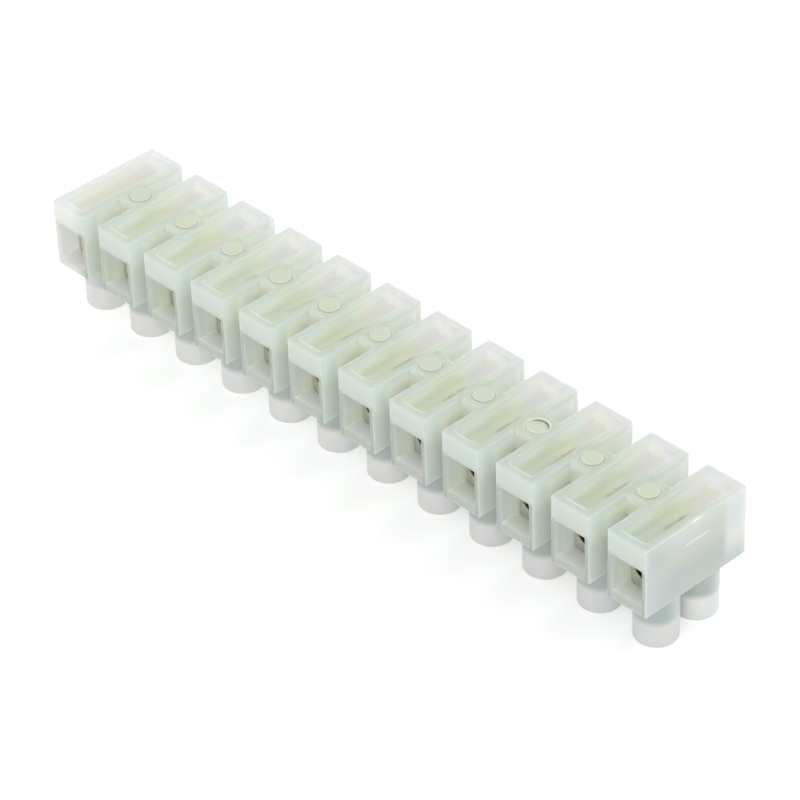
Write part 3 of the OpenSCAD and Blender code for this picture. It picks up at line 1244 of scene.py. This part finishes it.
def screw_marks(tree, where):
    """The screw head's end, rubbed by the driver, and painted shade in its slot."""
    _, y, z = piece_places(tree, where)
    rubbed = overlap(tree, fade(tree, z, *DRIVER_WEAR_Z), DRIVER_WEAR)
    # Painted shade in the slot
    slot_shade = overlap(
        tree,
        fade(tree, maths(tree, "ABSOLUTE", y), *SLOT_ACROSS),
        fade(tree, z, *SLOT_IN_Z),
        fade(tree, z, *SLOT_FLOOR_Z),
        SLOT_SHADE,
    )
    return rubbed, slot_shade


# Studio


def seen_rays(tree):
    """1 for the rays that look at the backdrop, directly or in metal, else 0."""
    path = tree.nodes.new("ShaderNodeLightPath")
    seen = path.outputs["Is Camera Ray"]
    for kind in ("Is Glossy Ray", "Is Transmission Ray"):
        seen = maths(tree, "MAXIMUM", seen, path.outputs[kind])
    return seen


def white_paper():
    """Floor paper that keeps the shadow, looks white around it and is clear from below."""
    material, tree, shader = new_material("white_paper")
    fill(tree, shader.inputs["Base Color"], PAPER)
    fill(tree, shader.inputs["Emission Color"], WHITE)
    shader.inputs["Roughness"].default_value = PAPER_ROUGHNESS
    shader.inputs["Specular IOR Level"].default_value = 0.0
    lift = maths(tree, "MULTIPLY", seen_rays(tree), PAPER_LIFT)
    fill(tree, shader.inputs["Emission Strength"], lift)
    clear_below = tree.nodes.new("ShaderNodeMixShader")
    side = tree.nodes.new("ShaderNodeNewGeometry")
    clear = tree.nodes.new("ShaderNodeBsdfTransparent")
    fill(tree, clear_below.inputs["Fac"], side.outputs["Backfacing"])
    fill(tree, clear_below.inputs[1], shader.outputs["BSDF"])
    fill(tree, clear_below.inputs[2], clear.outputs["BSDF"])
    fill(tree, tree.nodes["Material Output"].inputs["Surface"], clear_below.outputs["Shader"])
    return material


def tent_light():
    """White tent, a little brighter overhead than round the sides."""
    world = bpy.data.worlds.new("studio_tent")
    world.use_nodes = True
    tree = world.node_tree
    back = tree.nodes["Background"]
    fill(tree, back.inputs["Color"], WHITE)
    where = tree.nodes.new("ShaderNodeTexCoord")
    height = tree.nodes.new("ShaderNodeSeparateXYZ")
    fill(tree, height.inputs["Vector"], where.outputs["Generated"])
    level = tree.nodes.new("ShaderNodeMapRange")
    level.inputs["To Min"].default_value = TENT_SIDES
    level.inputs["To Max"].default_value = TENT_ROOF
    fill(tree, level.inputs["Value"], height.outputs["Z"])
    seen = tree.nodes.new("ShaderNodeMix")
    fill(tree, seen.inputs["Factor"], seen_rays(tree))
    fill(tree, seen.inputs["A"], level.outputs["Result"])
    seen.inputs["B"].default_value = 1.0
    fill(tree, back.inputs["Strength"], seen.outputs["Result"])
    return world


def photo_camera():
    eye = bpy.data.cameras.new("photo_camera")
    eye.lens = CAMERA_LENS
    eye.sensor_width = CAMERA_SENSOR
    eye.clip_start, eye.clip_end = CAMERA_CLIP
    camera = linked("photo_camera", eye)
    back = -Vector(CAMERA_LOOK)
    turn = Matrix((CAMERA_RIGHT, CAMERA_UP, back)).transposed().to_4x4()
    camera.matrix_world = Matrix.Translation(CAMERA_PLACE) @ turn
    return camera


def studio_floor():
    bm = bmesh.new()
    bmesh.ops.create_circle(bm, cap_ends=True, radius=FLOOR_R, segments=FLOOR_SEGMENTS)
    mesh = bpy.data.meshes.new("studio_floor")
    bm.to_mesh(mesh)
    bm.free()
    floor = linked("studio_floor", mesh)
    floor.data.materials.append(white_paper())


def softbox(name, place, aim, size, power):
    lamp = bpy.data.lights.new(name, "AREA")
    lamp.shape = "DISK"
    lamp.size = size
    lamp.energy = power
    holder = linked(name, lamp)
    holder.location = place
    aimed = Vector(aim) - Vector(place)
    holder.rotation_euler = aimed.to_track_quat("-Z", "Y").to_euler()


def studio():
    scene = bpy.context.scene
    scene.view_settings.view_transform = "Standard"
    scene.cycles.max_bounces = LIGHT_BOUNCES
    scene.cycles.diffuse_bounces = DIFFUSE_BOUNCES
    scene.camera = photo_camera()
    scene.world = tent_light()
    studio_floor()
    for box in SOFTBOXES:
        softbox(*box)


satin = moulded_satin()
housing(milky_plastic(satin))
hole_skins(thin_skin(satin))
plating = plate_wear_and_shade()
clamp_inserts(plated_metal("nickel_plate", plating, NICKEL, NICKEL_DULL, insert_marks))
clamp_screws(plated_metal("zinc_plate", plating, ZINC, ZINC_DULL, screw_marks))
studio()
